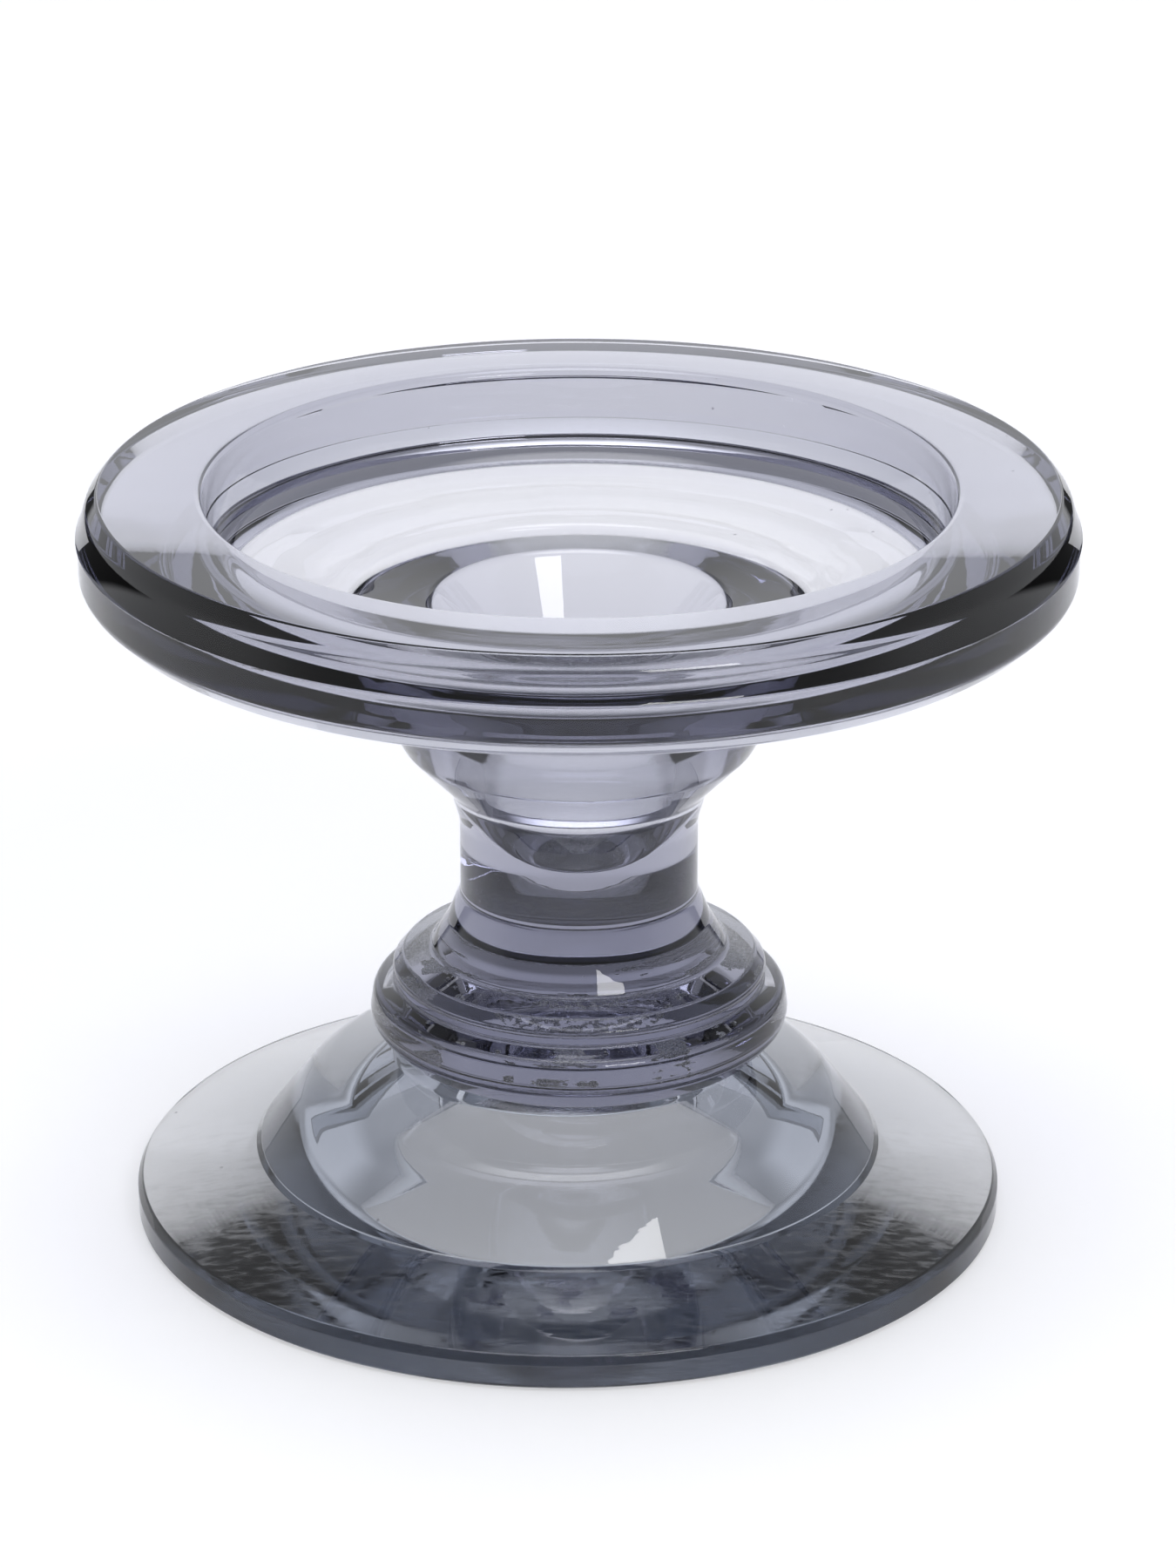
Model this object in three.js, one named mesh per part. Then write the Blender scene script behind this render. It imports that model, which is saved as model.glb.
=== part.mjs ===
// Glass candlestick: a wide pan for a pillar candle over a socket for a taper candle, on a waisted stem
// with a double knop, bonded to a domed foot. Two pressed glass castings and the film that joins them.
// Millimetres, +Z up. The origin is on the surface the foot rests on, under the middle of the pan.
import * as THREE from 'three';

// Driving dimensions. A corner of an outline is [radius, height, rounding]: its distance from the
// casting's own axis, its height above the resting surface, and the radius of the arc that rounds it.
const KNOP = {
  base: [22.9, 21.95, 1.2],
  belly: [25.6, 25, 2.6],
  waist: [25, 28.6, 1.6],
  notch: [22.3, 29.6, 0.5],
  collar: [22.8, 31.3, 1],
  collarTop: [21.4, 32.9, 1],
  shoulder: [18, 33.9, 1.2],
};
const STEM = { flare: [15.9, 37.4, 2.4], bottom: [14.4, 41.2, 4], top: [14.4, 50.5, 6] };
const BULB = { neck: [15.6, 54.6, 5], side: [21.2, 60.3, 5], widest: [24.3, 66, 6], root: [26.2, 76, 2.8] };
const PAN = {
  underside: [56.7, 80.2, 2],
  heel: [59.3, 82.6, 1.9],
  belowSeam: [59.3, 87],
  seam: [59.5, 87.3],
  aboveSeam: [59.3, 87.6],
  shoulder: [58.4, 90.7, 2.8],
  rim: [57, 92.4, 0.6],
  lip: [44.6, 92.4, 1.1],
  floorEdge: [43.4, 81.5, 3.9],
  floor: [30, 79, 20],
};
const SOCKET = {
  mouth: [17.7, 77.9, 1.3],
  throat: [11.1, 65.8, 2.5],
  end: [10, 54.4, 6],
  nose: [4.6, 45.9, 3.7],
  tip: [0, 45.6],
};
const JOINT = { radius: 20.2, top: 21.8, film: 0.3, gap: 0.1 };
const HOLLOW = { crown: [0, 13.9], roof: [8.8, 12.5, 14], mouth: [24.2, 0, 3] };
const FLANGE = { rest: [52.5, 0, 0.3], heel: [53, 0.4, 0.4], side: [53, 3.1, 0.6], top: [52.4, 4.1, 0.6] };
const DOME = {
  step: [38.3, 7.85, 0.4],
  root: [37.7, 8.25],
  edge: [37.7, 8.45, 7.5],
  shoulder: [31.3, 16.8, 8],
  neck: [21.3, 20, 1.2],
};
const FOOT_OFFSET = -1.4;

const FLATS_PER_TURN = 64;
const ARC_STEP = Math.PI / 9;

// Turns corners [radius, height, rounding] into an outline with an arc at each rounded corner.
function roundedOutline(corners) {
  const points = [];
  corners.forEach(([radius, height, rounding = 0], index) => {
    const corner = new THREE.Vector2(radius, height);
    if (rounding === 0) {
      points.push(corner);
      return;
    }
    const back = new THREE.Vector2(...corners[index - 1]).sub(corner);
    const ahead = new THREE.Vector2(...corners[index + 1]).sub(corner);
    const room = Math.min(back.length(), ahead.length()) / 2;
    const halfAngle = back.angleTo(ahead) / 2;
    const setback = Math.min(rounding / Math.tan(halfAngle), room);
    const arcRadius = setback * Math.tan(halfAngle);
    back.normalize();
    ahead.normalize();
    const centre = back.clone().add(ahead).setLength(arcRadius / Math.sin(halfAngle)).add(corner);
    const spoke = back.multiplyScalar(setback).add(corner).sub(centre);
    const lastSpoke = ahead.multiplyScalar(setback).add(corner).sub(centre);
    const turn = Math.atan2(spoke.cross(lastSpoke), spoke.dot(lastSpoke));
    const steps = Math.max(1, Math.round(Math.abs(turn) / ARC_STEP));
    const origin = new THREE.Vector2();
    for (let step = 0; step <= steps; step += 1) {
      points.push(spoke.clone().rotateAround(origin, (turn * step) / steps).add(centre));
    }
  });
  return points;
}

// A solid of revolution about the Z axis, from corners that start and end on that axis.
function turned(name, corners, material) {
  const geometry = new THREE.LatheGeometry(roundedOutline(corners), FLATS_PER_TURN);
  geometry.rotateX(Math.PI / 2);
  const mesh = new THREE.Mesh(geometry, material);
  mesh.name = name;
  return mesh;
}

// Smoke-grey glass with a lavender cast.
function lavenderGlass() {
  return new THREE.MeshStandardMaterial({
    color: 0x9a9aae, roughness: 0.05, metalness: 0, transparent: true, opacity: 0.5,
  });
}

// Smoke-grey glass, more neutral than the upper casting's.
function greyGlass() {
  return new THREE.MeshStandardMaterial({
    color: 0x94989a, roughness: 0.05, metalness: 0, transparent: true, opacity: 0.5,
  });
}

// Cured clear adhesive.
function clearAdhesive() {
  return new THREE.MeshStandardMaterial({
    color: 0xb9bab4, roughness: 0.3, metalness: 0, transparent: true, opacity: 0.6,
  });
}

// The upper casting, from the joint out over knop, stem, bulb and pan, and down into the taper socket.
function panAndStem() {
  return turned('pan_and_stem', [
    [0, JOINT.top],
    [JOINT.radius, JOINT.top],
    ...Object.values(KNOP),
    ...Object.values(STEM),
    ...Object.values(BULB),
    ...Object.values(PAN),
    ...Object.values(SOCKET),
  ], lavenderGlass());
}

// The film of adhesive in the joint.
function bondFilm() {
  const top = JOINT.top - JOINT.gap;
  const bottom = top - JOINT.film;
  const corners = [[0, bottom], [JOINT.radius, bottom], [JOINT.radius, top], [0, top]];
  return turned('bond_film', corners, clearAdhesive());
}

// The foot, from the hollow underneath out over the resting ring and flange, and up the dome.
function foot() {
  const top = JOINT.top - 2 * JOINT.gap - JOINT.film;
  const mesh = turned('foot', [
    ...Object.values(HOLLOW),
    ...Object.values(FLANGE),
    ...Object.values(DOME),
    [JOINT.radius, top],
    [0, top],
  ], greyGlass());
  mesh.position.x = FOOT_OFFSET;
  return mesh;
}

const candlestick = new THREE.Group();
candlestick.add(panAndStem(), bondFilm(), foot());

export default candlestick;
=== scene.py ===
# Glass candlestick: the looks. Two tinted pressed glass castings and the film of adhesive between them,
# on a pale floor in a white tent. The frame is in metres, outlines are in millimetres.
import math

import bmesh
import bpy
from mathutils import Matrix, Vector, noise


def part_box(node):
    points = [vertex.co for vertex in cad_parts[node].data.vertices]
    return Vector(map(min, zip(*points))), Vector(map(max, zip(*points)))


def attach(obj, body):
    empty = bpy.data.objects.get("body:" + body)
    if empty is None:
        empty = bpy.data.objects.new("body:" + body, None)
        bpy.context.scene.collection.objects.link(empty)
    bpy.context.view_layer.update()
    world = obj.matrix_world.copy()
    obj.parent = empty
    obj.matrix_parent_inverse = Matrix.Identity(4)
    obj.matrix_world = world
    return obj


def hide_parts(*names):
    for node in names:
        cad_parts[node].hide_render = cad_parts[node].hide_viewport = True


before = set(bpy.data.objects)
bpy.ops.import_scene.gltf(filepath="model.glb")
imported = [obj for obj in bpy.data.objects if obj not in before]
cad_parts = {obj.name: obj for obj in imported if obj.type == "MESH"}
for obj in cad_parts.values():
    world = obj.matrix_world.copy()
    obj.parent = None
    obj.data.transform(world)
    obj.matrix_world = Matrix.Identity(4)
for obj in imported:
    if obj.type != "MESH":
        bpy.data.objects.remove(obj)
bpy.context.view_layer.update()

MM = 0.001

# The outlines' corners, as in the CAD source: (radius, height, rounding) from each casting's own axis
# and above the surface that the candlestick stands on.
KNOP = {
    "base": (22.9, 21.95, 1.2), "belly": (25.6, 25, 2.6), "waist": (25, 28.6, 1.6),
    "notch": (22.3, 29.6, 0.5), "collar": (22.8, 31.3, 1), "collar_top": (21.4, 32.9, 1),
    "shoulder": (18, 33.9, 1.2),
}
STEM = {"flare": (15.9, 37.4, 2.4), "bottom": (14.4, 41.2, 4), "top": (14.4, 50.5, 6)}
BULB = {
    "neck": (15.6, 54.6, 5), "side": (21.2, 60.3, 5), "widest": (24.3, 66, 6), "root": (26.2, 76, 2.8),
}
PAN = {
    "underside": (56.7, 80.2, 2), "heel": (59.3, 82.6, 1.9), "below_seam": (59.3, 87),
    "seam": (59.5, 87.3), "above_seam": (59.3, 87.6), "shoulder": (58.4, 90.7, 2.8),
    "rim": (57, 92.4, 0.6), "lip": (44.6, 92.4, 1.1), "floor_edge": (43.4, 81.5, 3.9),
    "floor": (30, 79, 20),
}
SOCKET = {
    "mouth": (17.7, 77.9, 1.3), "throat": (11.1, 65.8, 2.5), "end": (10, 54.4, 6),
    "nose": (4.6, 45.9, 3.7), "tip": (0, 45.6),
}
HOLLOW = {"crown": (0, 13.9), "roof": (8.8, 12.5, 14), "mouth": (24.2, 0, 3)}
FLANGE = {
    "rest": (52.5, 0, 0.3), "heel": (53, 0.4, 0.4), "side": (53, 3.1, 0.6), "top": (52.4, 4.1, 0.6),
}
DOME = {
    "step": (38.3, 7.85, 0.4), "root": (37.7, 8.25), "edge": (37.7, 8.45, 7.5),
    "shoulder": (31.3, 16.8, 8), "neck": (21.3, 20, 1.2),
}

# The joint: its radius, the upper casting's face, the film's thickness, and the gap on either side of it.
JOINT = {"radius": 20.2, "top": 21.8, "film": 0.3, "gap": 0.1}
FOOT_TOP = JOINT["top"] - 2 * JOINT["gap"] - JOINT["film"]
# The adhesive that was squeezed out: how far it stands out, how far it sags below the film and stays
# under its top, and its rounding below and above.
BEAD = {"out": 0.55, "sag": 0.1, "lid": 0.02, "below": 0.15, "above": 0.12}

# Flats to a turn, about how far an arc turns from one point to the next, and the angle that is an edge.
SPOKES = 320
ARC_STEP = math.radians(4)
CREASE = math.radians(28)


def rounded_outline(corners):
    """Points (radius, height) of an outline whose corners are (radius, height) or also have a rounding."""
    points = []
    for index, (radius, height, *rounding) in enumerate(corners):
        corner = Vector((radius, height))
        if not rounding:
            points.append(corner)
            continue
        back = Vector(corners[index - 1][:2]) - corner
        ahead = Vector(corners[index + 1][:2]) - corner
        half_angle = back.angle(ahead) / 2
        room = min(back.length, ahead.length) / 2
        setback = min(rounding[0] / math.tan(half_angle), room)
        arc_radius = setback * math.tan(half_angle)
        back.normalize()
        ahead.normalize()
        centre = corner + (back + ahead).normalized() * (arc_radius / math.sin(half_angle))
        first = corner + back * setback - centre
        last = corner + ahead * setback - centre
        turn = math.atan2(first.cross(last), first.dot(last))
        steps = max(2, round(abs(turn) / ARC_STEP))
        for step in range(steps + 1):
            angle = turn * step / steps
            cosine, sine = math.cos(angle), math.sin(angle)
            arm = Vector((first.x * cosine - first.y * sine, first.x * sine + first.y * cosine))
            points.append(centre + arm)
    return points


def turned(name, corners, centre_x, material, surface=None):
    """A solid of revolution about a vertical axis. surface(point, outward) may shift each point a little."""
    mesh = bmesh.new()
    rings = []
    for radius, height in rounded_outline(corners):
        if radius == 0:
            rings.append([mesh.verts.new((centre_x, 0, height * MM))] * SPOKES)
            continue
        ring = []
        for spoke in range(SPOKES):
            angle = math.tau * spoke / SPOKES
            x, y = radius * math.cos(angle), radius * math.sin(angle)
            ring.append(mesh.verts.new((x * MM + centre_x, y * MM, height * MM)))
        rings.append(ring)
    for lower, upper in zip(rings, rings[1:]):
        for spoke in range(SPOKES):
            following = (spoke + 1) % SPOKES
            loop = [lower[spoke], lower[following], upper[following], upper[spoke]]
            mesh.faces.new(dict.fromkeys(loop))
    bmesh.ops.recalc_face_normals(mesh, faces=mesh.faces)
    for face in mesh.faces:
        face.smooth = True
    mesh.normal_update()
    if surface:
        moved = [surface(vertex.co, vertex.normal) for vertex in mesh.verts]
        for vertex, place in zip(mesh.verts, moved):
            vertex.co = place
    data = bpy.data.meshes.new(name)
    mesh.to_mesh(data)
    mesh.free()
    data.set_sharp_from_angle(angle=CREASE)
    data.materials.append(material)
    piece = bpy.data.objects.new(name, data)
    bpy.context.scene.collection.objects.link(piece)
    return piece


class Nodes:
    """Short calls for building a node tree. A value given as a socket is linked, any other is set."""

    def __init__(self, tree):
        self.tree = tree
        tree.nodes.clear()

    def add(self, kind, inputs=None, **settings):
        made = self.tree.nodes.new(kind)
        for name, value in settings.items():
            setattr(made, name, value)
        for key, value in (inputs or {}).items():
            if isinstance(value, bpy.types.NodeSocket):
                self.tree.links.new(value, made.inputs[key])
            else:
                made.inputs[key].default_value = value
        return made

    def math(self, operation, *values):
        return self.add("ShaderNodeMath", dict(enumerate(values)), operation=operation).outputs[0]

    def ramp(self, value, low, high, start=0.0, end=1.0):
        """start below low, end above high, smooth between."""
        inputs = {0: value, 1: low, 2: high, 3: start, 4: end}
        return self.add("ShaderNodeMapRange", inputs, interpolation_type="SMOOTHSTEP").outputs[0]

    def noise(self, vector, scale, detail=2.0, roughness=0.5):
        inputs = {"Vector": vector, "Scale": scale, "Detail": detail, "Roughness": roughness}
        return self.add("ShaderNodeTexNoise", inputs).outputs["Fac"]

    def stretched(self, vector, scale):
        return self.add("ShaderNodeVectorMath", {0: vector, 1: scale}, operation="MULTIPLY").outputs[0]


def new_material(name):
    material = bpy.data.materials.new(name)
    material.use_nodes = True
    return material, Nodes(material.node_tree)


# Light lost per metre of glass in red, green and blue, and the share that the strongest loss has of the
# volume's density.
LAVENDER = (38, 37.5, 31)
GREY = (25, 23.5, 20.5)
STRONGEST = 0.95

GLASS_IOR = 1.52
ADHESIVE_IOR = 1.49

# Noises: how many features there are in a metre, then the noise's own detail and roughness. The scuffs
# are drawn out along x and z by their stretch, which also holds how many there are in a metre.
TOOL_MARKS = {"scale": 520, "detail": 2, "roughness": 0.6}
PEEL = {"scale": 150, "detail": 0}
SCUFFS = {"scale": 1, "detail": 4, "roughness": 0.7}
SCUFF_STRETCH = (300, 900, 300)
RAGGED_EDGE = {"scale": 700}
BLOBS = {"scale": 210, "detail": 4, "roughness": 0.6}
FROTH = {"scale": 1500, "detail": 2, "roughness": 0.6}
BUBBLES = {"scale": 2200, "detail": 3, "roughness": 0.7}

# Ranges: where on a noise something sets in and where it is full, and its value before and after.
GROUND = (0.35, 0.7, 0.03, 0.2)
SCUFFED = (0.62, 0.8, 0, 0.06)
BUBBLY = (0.3, 0.7, 0.1, 0.4)

# Relief is what a height of 1 stands for. The peel's height is by casting, the tool marks' a share of it.
RELIEF = 1 * MM
PEEL_HEIGHT = {"lavender": 0.010, "grey": 0.012}
TOOL_MARK_SHARE = 0.4
BUBBLE_RELIEF = 0.4 * MM

# Glass that is lower than this above the table is ground.
GROUND_BELOW = 0.25 * MM
# A speck sits in each of a voronoi texture's cells whose random value is above the rarity.
SPECKS = {"scale": 420, "rarity": 0.97, "size": 0.09, "colour": (0.45, 0.44, 0.46, 1)}
GLUE_TINT = (0.86, 0.86, 0.83, 1)
WHITE = (1, 1, 1, 1)


def tinted_volume(nodes, loss):
    """Absorption that takes away loss per metre in each colour."""
    density = max(loss) / STRONGEST
    colour = [1 - value / density for value in loss]
    absorption = nodes.add("ShaderNodeVolumeAbsorption")
    absorption.inputs["Color"].default_value = (*colour, 1)
    absorption.inputs["Density"].default_value = density
    return absorption.outputs[0]


# The adhesive took hold in a frothy patch in the middle and in blobs in a ring around it. Both have ragged
# edges, and depth is how near a point must be to the joint face to be on it.
WET = {
    "middle": 8.4 * MM, "ring": 16 * MM, "half_width": 4 * MM, "ragged": 1.4 * MM, "depth": 0.15 * MM,
    "blobs": (0.53, 0.54), "froth": (0.48, 0.50),
}


def radius_and_height(nodes, place):
    """A point's distance from the vertical axis, and its height."""
    x, y, z = nodes.add("ShaderNodeSeparateXYZ", {0: place}).outputs
    squares = nodes.math("ADD", nodes.math("MULTIPLY", x, x), nodes.math("MULTIPLY", y, y))
    return nodes.math("SQRT", squares), z


def joint_mask(nodes, place, face_height):
    """1 where adhesive wets the casting's joint face, 0 in its air pockets and everywhere else."""
    radius, z = radius_and_height(nodes, place)
    ragged = nodes.math("MULTIPLY_ADD", nodes.noise(place, **RAGGED_EDGE), WET["ragged"], radius)
    on_face = nodes.math("COMPARE", z, face_height, WET["depth"])
    blobs = nodes.ramp(nodes.noise(place, **BLOBS), *WET["blobs"])
    outer = nodes.math("MULTIPLY", nodes.math("COMPARE", ragged, WET["ring"], WET["half_width"]), blobs)
    froth = nodes.ramp(nodes.noise(place, **FROTH), *WET["froth"])
    middle = nodes.math("MULTIPLY", nodes.math("LESS_THAN", ragged, WET["middle"]), froth)
    return nodes.math("MULTIPLY", on_face, nodes.math("MAXIMUM", outer, middle))


def pressed_glass(name, loss, joint_height, peel_height):
    """Tinted glass with tool marks and orange peel from the mould, a ground underside, scuffs and specks."""
    material, nodes = new_material(name)
    place = nodes.add("ShaderNodeTexCoord").outputs["Object"]
    radius, z = radius_and_height(nodes, place)
    around = nodes.add("ShaderNodeCombineXYZ", {0: radius, 2: z}).outputs[0]
    marks = nodes.math("MULTIPLY", nodes.noise(around, **TOOL_MARKS), peel_height * TOOL_MARK_SHARE)
    height = nodes.math("MULTIPLY_ADD", nodes.noise(place, **PEEL), peel_height, marks)
    bump = nodes.add("ShaderNodeBump", {"Strength": 1, "Distance": RELIEF, "Height": height})
    scuffs = nodes.noise(nodes.stretched(place, SCUFF_STRETCH), **SCUFFS)
    underneath = nodes.math("LESS_THAN", z, GROUND_BELOW)
    ground = nodes.math("MULTIPLY", underneath, nodes.ramp(scuffs, *GROUND))
    roughness = nodes.math("MAXIMUM", ground, nodes.ramp(scuffs, *SCUFFED))
    cells = nodes.add("ShaderNodeTexVoronoi", {"Vector": place, "Scale": SPECKS["scale"]})
    draw = nodes.add("ShaderNodeSeparateColor", {0: cells.outputs["Color"]}).outputs[0]
    rare = nodes.math("GREATER_THAN", draw, SPECKS["rarity"])
    speck = nodes.math("MULTIPLY", rare, nodes.math("LESS_THAN", cells.outputs["Distance"], SPECKS["size"]))
    colours = {0: speck, 6: WHITE, 7: SPECKS["colour"]}
    colour = nodes.add("ShaderNodeMix", colours, data_type="RGBA").outputs[2]
    glass = nodes.add("ShaderNodeBsdfPrincipled", {"Base Color": colour, "Roughness": roughness,
                                                   "Normal": bump.outputs[0]})
    glass.inputs["IOR"].default_value = GLASS_IOR
    glass.inputs["Transmission Weight"].default_value = 1
    clear = nodes.add("ShaderNodeBsdfTransparent")
    wet = joint_mask(nodes, place, joint_height)
    surface = nodes.add("ShaderNodeMixShader", {0: wet, 1: glass.outputs[0], 2: clear.outputs[0]}).outputs[0]
    nodes.add("ShaderNodeOutputMaterial", {"Surface": surface, "Volume": tinted_volume(nodes, loss)})
    return material


def adhesive(name):
    """Clear adhesive, unseen where it wets both castings, with frothy bubbles and a rough outer edge."""
    material, nodes = new_material(name)
    place = nodes.add("ShaderNodeTexCoord").outputs["Object"]
    bubbles = nodes.noise(place, **BUBBLES)
    bump = nodes.add("ShaderNodeBump", {"Strength": 1, "Distance": BUBBLE_RELIEF, "Height": bubbles})
    glue = nodes.add("ShaderNodeBsdfPrincipled", {"Base Color": GLUE_TINT,
                                                  "Roughness": nodes.ramp(bubbles, *BUBBLY),
                                                  "Normal": bump.outputs[0]})
    glue.inputs["IOR"].default_value = ADHESIVE_IOR
    glue.inputs["Transmission Weight"].default_value = 1
    clear = nodes.add("ShaderNodeBsdfTransparent")
    wet = joint_mask(nodes, place, (JOINT["top"] - JOINT["gap"] - JOINT["film"] / 2) * MM)
    surface = nodes.add("ShaderNodeMixShader", {0: wet, 1: glue.outputs[0], 2: clear.outputs[0]})
    nodes.add("ShaderNodeOutputMaterial", {"Surface": surface.outputs[0]})
    return material


# Pressed glass is never quite round. Swells and dimples: how many there are in a metre, and their height.
SWELL = {"scale": 45, "height": 0.06 * MM}
DIMPLE = {"scale": 130, "height": 0.018 * MM}
DIMPLE_OFFSET = Vector((5, 3, 1))


def hand_of_the_mould(point, outward):
    """The point moved along its normal by slow swells and shallow dimples."""
    swell = noise.noise(point * SWELL["scale"]) * SWELL["height"]
    dimple = noise.noise(point * DIMPLE["scale"] + DIMPLE_OFFSET) * DIMPLE["height"]
    return point + outward * (swell + dimple)


def upper_corners():
    """The upper casting: from the joint out over knop, stem, bulb and pan, then down the taper socket."""
    joint = [(0, JOINT["top"]), (JOINT["radius"], JOINT["top"])]
    return joint + [corner for part in (KNOP, STEM, BULB, PAN, SOCKET) for corner in part.values()]


def film_corners():
    """The film, with the bead that was squeezed out at its edge."""
    top = JOINT["top"] - JOINT["gap"]
    bottom = top - JOINT["film"]
    bead = JOINT["radius"] + BEAD["out"]
    lower = (bead, bottom - BEAD["sag"], BEAD["below"])
    upper = (bead, top - BEAD["lid"], BEAD["above"])
    return [(0, bottom), (JOINT["radius"], bottom), lower, upper, (0, top)]


def foot_corners():
    """The foot, from the hollow underneath out over the resting ring and flange, and up the dome."""
    joint = [(JOINT["radius"], FOOT_TOP), (0, FOOT_TOP)]
    return [corner for part in (HOLLOW, FLANGE, DOME) for corner in part.values()] + joint


def candlestick():
    """The three pieces, each in place of its CAD node. The foot sits where the frame has it, off the axis."""
    foot_low, foot_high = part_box("foot")
    foot_x = (foot_low.x + foot_high.x) / 2
    lavender = pressed_glass("lavender_glass", LAVENDER, JOINT["top"] * MM, PEEL_HEIGHT["lavender"])
    grey = pressed_glass("grey_glass", GREY, FOOT_TOP * MM, PEEL_HEIGHT["grey"])
    upper = turned("pan_and_stem_glass", upper_corners(), 0, lavender, hand_of_the_mould)
    film = turned("bond_film_glue", film_corners(), 0, adhesive("adhesive"))
    foot = turned("foot_glass", foot_corners(), foot_x, grey, hand_of_the_mould)
    for piece, node, slot in ((upper, "pan_and_stem", "lavender_glass"), (film, "bond_film", "adhesive"),
                              (foot, "foot", "grey_glass")):
        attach(piece, "root")
        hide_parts(node)


# The studio is a white tent: brightest low down behind the object and straight overhead, dimmer at the
# sides and on the camera's side. Levels are brightness, and all else is angles in degrees, across from
# straight behind the object or up from the horizon.
BACKDROP = {"half_width": 30, "edge": 8, "top": 22, "level": 1.16}
SIDES = {"bottom": 10, "top": 50, "level": 0.80}
ROOF = {"start": 42, "level": 0.46}
ZENITH = {"start": 62, "full": 80, "level": 4.8}
CAMERA_SIDE = {"low": 95, "high": 125, "level": 0.36}
# Below the horizon is the dim room that the tent stands in, which shows as thin dark lines in the glass.
ROOM = {"top": -3, "level": 0.06}
# What the camera sees straight past the object, overexposed to plain white.
SEEN_WHITE = 1.3
DAYLIGHT = (0.94, 0.955, 1, 1)


def studio_world():
    """Light by direction. The camera itself sees plain white behind the object."""
    world = bpy.data.worlds.new("studio")
    world.use_nodes = True
    bpy.context.scene.world = world
    nodes = Nodes(world.node_tree)
    direction = nodes.add("ShaderNodeTexCoord").outputs["Generated"]
    x, y, z = nodes.add("ShaderNodeSeparateXYZ", {0: direction}).outputs
    turn = nodes.math("DEGREES", nodes.math("ABSOLUTE", nodes.math("ARCTAN2", x, y)))
    rise = nodes.math("DEGREES", nodes.math("ARCSINE", z))
    behind = nodes.ramp(rise, BACKDROP["top"], ROOF["start"], BACKDROP["level"], ROOF["level"])
    beside = nodes.ramp(rise, SIDES["bottom"], SIDES["top"], SIDES["level"], ROOF["level"])
    edges = BACKDROP["half_width"] - BACKDROP["edge"], BACKDROP["half_width"] + BACKDROP["edge"]
    far = nodes.add("ShaderNodeMix", {0: nodes.ramp(turn, *edges), 2: behind, 3: beside}).outputs[0]
    near = nodes.ramp(turn, CAMERA_SIDE["low"], CAMERA_SIDE["high"])
    walls = nodes.add("ShaderNodeMix", {0: near, 2: far, 3: CAMERA_SIDE["level"]}).outputs[0]
    overhead = nodes.ramp(rise, ZENITH["start"], ZENITH["full"], 0, ZENITH["level"])
    tent = nodes.math("MAXIMUM", walls, overhead)
    level = nodes.math("MULTIPLY", tent, nodes.ramp(rise, ROOM["top"], 0, ROOM["level"], 1))
    seen = nodes.add("ShaderNodeLightPath").outputs["Is Camera Ray"]
    strength = nodes.add("ShaderNodeMix", {0: seen, 2: level, 3: SEEN_WHITE}).outputs[0]
    background = nodes.add("ShaderNodeBackground", {"Color": DAYLIGHT, "Strength": strength})
    nodes.add("ShaderNodeOutputWorld", {"Surface": background.outputs[0]})


# The key light, in metres and watts, aimed at the origin.
KEY = {"place": (0.42, -0.80, 0.80), "width": 0.38, "depth": 0.18, "watts": 1.7}


def soft_light(name, place, width, depth, watts):
    """A rectangular lamp at place that faces the origin."""
    light = bpy.data.lights.new(name, "AREA")
    light.shape = "RECTANGLE"
    light.size = width
    light.size_y = depth
    light.energy = watts
    lamp = bpy.data.objects.new(name, light)
    lamp.location = place
    lamp.rotation_euler = (-Vector(place)).to_track_quat("-Z", "Y").to_euler()
    bpy.context.scene.collection.objects.link(lamp)


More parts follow.
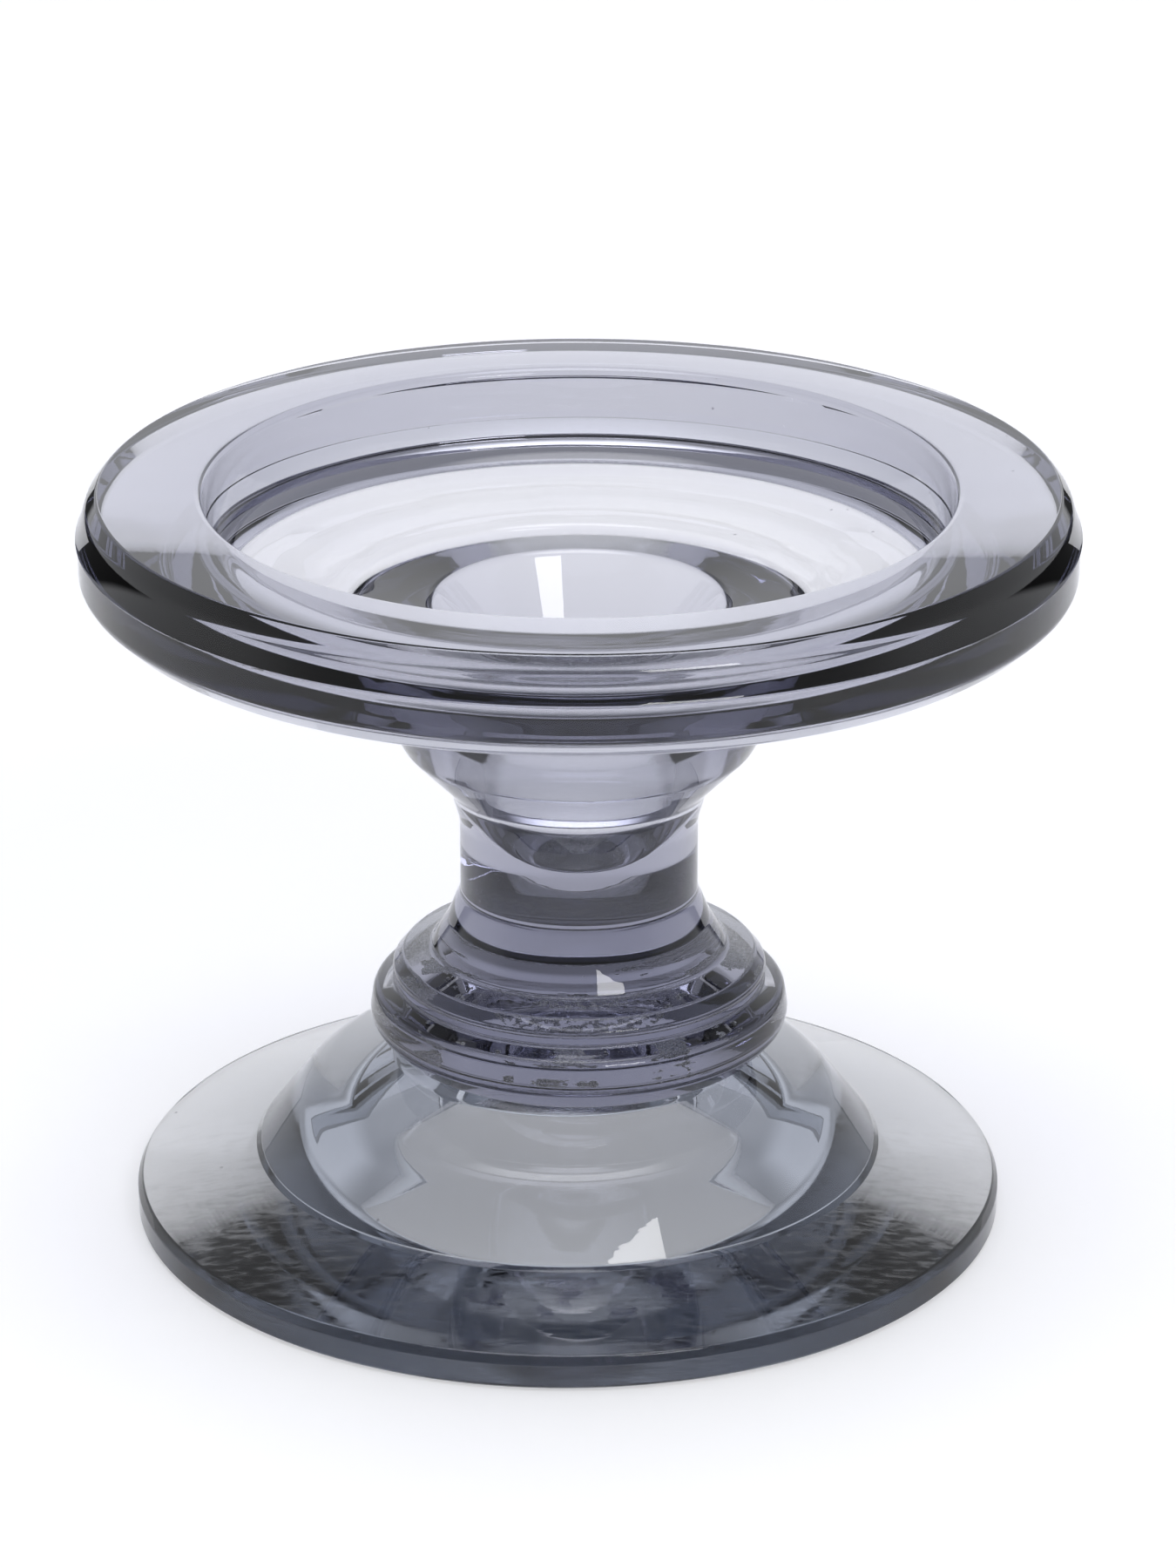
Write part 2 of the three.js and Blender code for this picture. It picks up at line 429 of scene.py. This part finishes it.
# A sheet of white plastic that glows a little, as if lit from below. It lies a hair below the foot, so
# that light inside the glass turns back at the glass. Its edges in metres are left, right, front and back,
# and its tone is a range, as above.
FLOOR = -0.15 * MM
SHEET = (-0.30, 0.30, -1.0, 2.2)
CLOUDS = {"scale": 6, "detail": 3}
SHEET_TONE = (0.3, 0.7, 0.66, 0.70)
SHEET_BLUE = 0.71
SHEET_GLOW = 0.38
SHEET_ROUGHNESS = 0.7


def studio_floor():
    """The sheet that the candlestick stands on."""
    material, nodes = new_material("floor_plastic")
    place = nodes.add("ShaderNodeTexCoord").outputs["Object"]
    tone = nodes.ramp(nodes.noise(place, **CLOUDS), *SHEET_TONE)
    colour = nodes.add("ShaderNodeCombineColor", {0: tone, 1: tone, 2: SHEET_BLUE})
    plastic = nodes.add("ShaderNodeBsdfPrincipled", {"Base Color": colour.outputs[0]})
    plastic.inputs["Emission Color"].default_value = WHITE
    plastic.inputs["Emission Strength"].default_value = SHEET_GLOW
    plastic.inputs["Roughness"].default_value = SHEET_ROUGHNESS
    nodes.add("ShaderNodeOutputMaterial", {"Surface": plastic.outputs[0]})
    data = bpy.data.meshes.new("floor")
    left, right, front, back = SHEET
    corners = [(left, front, FLOOR), (right, front, FLOOR), (right, back, FLOOR), (left, back, FLOOR)]
    data.from_pydata(corners, [], [(0, 1, 2, 3)])
    data.materials.append(material)
    floor = bpy.data.objects.new("floor", data)
    bpy.context.scene.collection.objects.link(floor)


# Place in metres, the angle that it looks down by in radians, lens and sensor in millimetres, how far the
# picture is shifted as a share of the frame's longer side, and how far it sees in metres.
CAMERA = {
    "place": (0, -0.6818, 0.3276), "down": 0.3812, "lens": 140, "sensor": 36, "shift": 0.0057, "reach": 50,
}


def camera():
    """A long lens, well above the rim and looking down."""
    data = bpy.data.cameras.new("camera")
    data.lens = CAMERA["lens"]
    data.sensor_width = CAMERA["sensor"]
    data.shift_x = CAMERA["shift"]
    data.clip_end = CAMERA["reach"]
    viewer = bpy.data.objects.new("camera", data)
    viewer.location = CAMERA["place"]
    viewer.rotation_euler = (math.pi / 2 - CAMERA["down"], 0, 0)
    bpy.context.scene.collection.objects.link(viewer)
    bpy.context.scene.camera = viewer


candlestick()
studio_world()
soft_light("key", **KEY)
studio_floor()
camera()
bpy.context.scene.view_settings.view_transform = "Standard"
